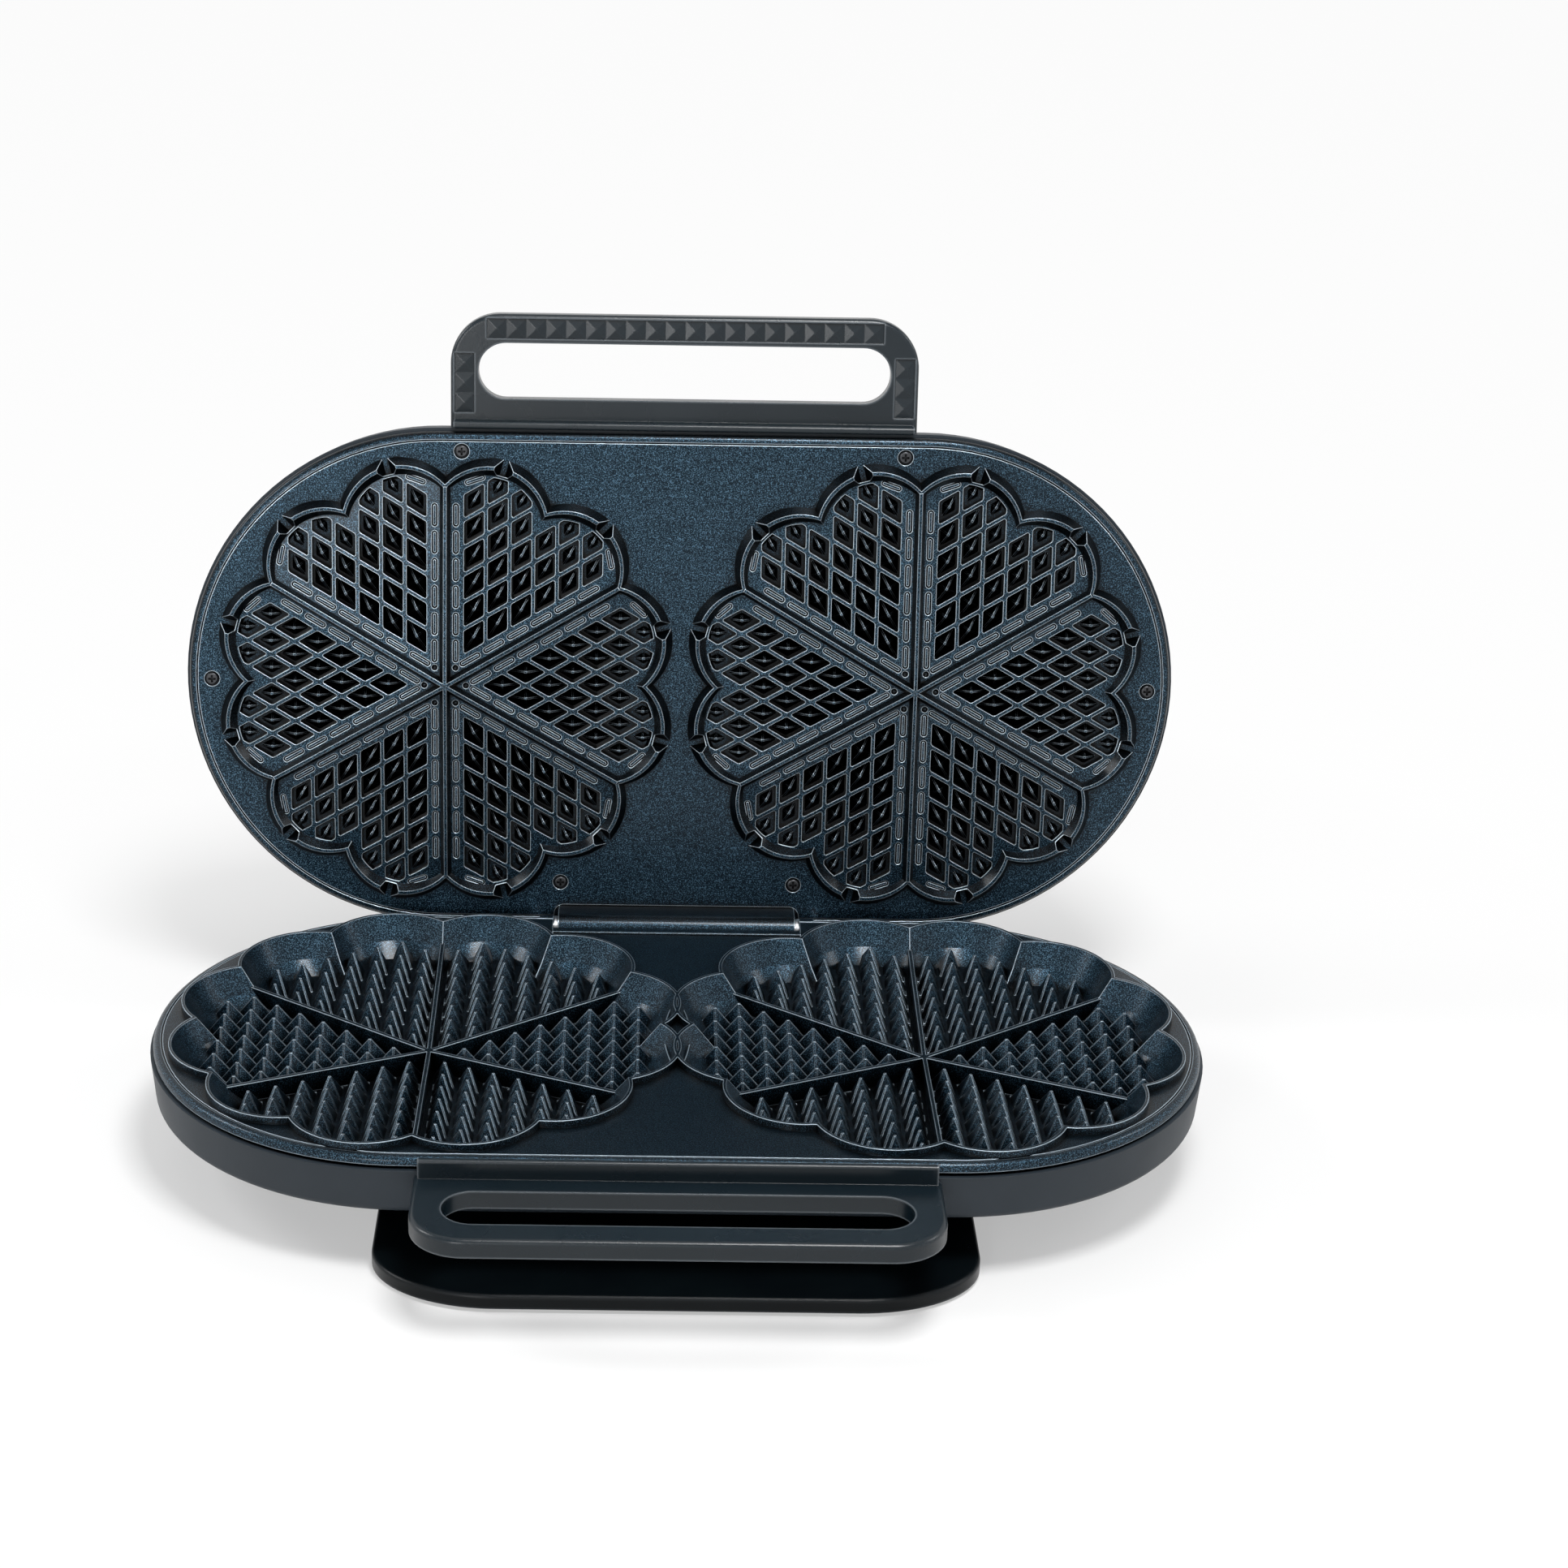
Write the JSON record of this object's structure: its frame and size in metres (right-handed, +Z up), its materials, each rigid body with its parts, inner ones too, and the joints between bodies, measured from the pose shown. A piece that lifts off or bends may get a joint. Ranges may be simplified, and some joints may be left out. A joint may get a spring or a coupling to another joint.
{
  "type": "waffle iron",
  "caption": "Open double waffle iron with two flower-shaped heart pans, hinged lid, loop handles and a flat stand.",
  "frame": {"origin": "on the table under the middle of the open appliance", "axes": "+X along the appliance, +Y from the handle side to the hinge side, +Z up from the table"},
  "size_m": [0.405, 0.3306, 0.2905],
  "materials": {
    "nonstick_plate": "non-stick coated, satin with a fine sparkle",
    "casing": "fine matte grain",
    "handle": "satin",
    "stand": "satin",
    "feet": "matte",
    "steel": "brushed",
    "screws": "zinc plated",
    "dark_screws": "blackened",
    "bushes": "plain bearing metal",
    "heater_tube": "annealed tube",
    "reflector": "bright sheet",
    "ceramic": "unglazed",
    "terminal": "moulded",
    "lead": "silicone sleeve",
    "gland": "matte",
    "thermostat": "plated case",
    "light_holder": "moulded",
    "red_lens": "clear red",
    "green_lens": "clear green",
    "knob": "satin"
  },
  "bodies": {
    "base": {"stand": "stand", "stand_feet": "feet", "stand_screws": "screws", "base_shell": "casing", "lower_plate": "nonstick_plate", "lower_plate_screws": "screws", "lower_heater_left": "heater_tube", "lower_heater_right": "heater_tube", "lower_heater_clamps": "steel", "lower_reflectors": "reflector", "lower_clamp_screws": "screws", "base_handle": "handle", "base_handle_screws": "screws", "hinge_pin": "steel", "hinge_pin_clips": "steel", "hinge_washers": "steel", "thermal_fuse": "ceramic", "terminal_block": "terminal", "heater_leads": "lead", "cord_gland": "gland"},
    "lid": {"lid_cover": "casing", "upper_plate": "nonstick_plate", "upper_plate_screws": "dark_screws", "hinge_bushes": "bushes", "upper_heater_left": "heater_tube", "upper_heater_right": "heater_tube", "upper_heater_clamps": "steel", "upper_reflectors": "reflector", "upper_clamp_screws": "screws", "lid_handle": "handle", "lid_handle_screws": "screws", "thermostat": "thermostat", "thermostat_bracket": "steel", "bracket_screws": "screws", "power_light": "red_lens", "ready_light": "green_lens", "light_holder": "light_holder", "light_holder_screw": "screws"},
    "knob": {"control_knob": "knob", "knob_spindle": "steel"}
  },
  "joints": [
    {"name": "lid_hinge", "type": "hinge", "parent": "base", "child": "lid", "pos_m": [0, 0.08593, 0.04459], "axis": [1, 0, 0], "range_deg": [0, 98.3]},
    {"name": "knob_turn", "type": "hinge", "parent": "lid", "child": "knob", "pos_m": [0, 0.15223, 0.19836], "axis": [0, 0.9895, -0.1444], "range_deg": [0, 270]}
  ]
}
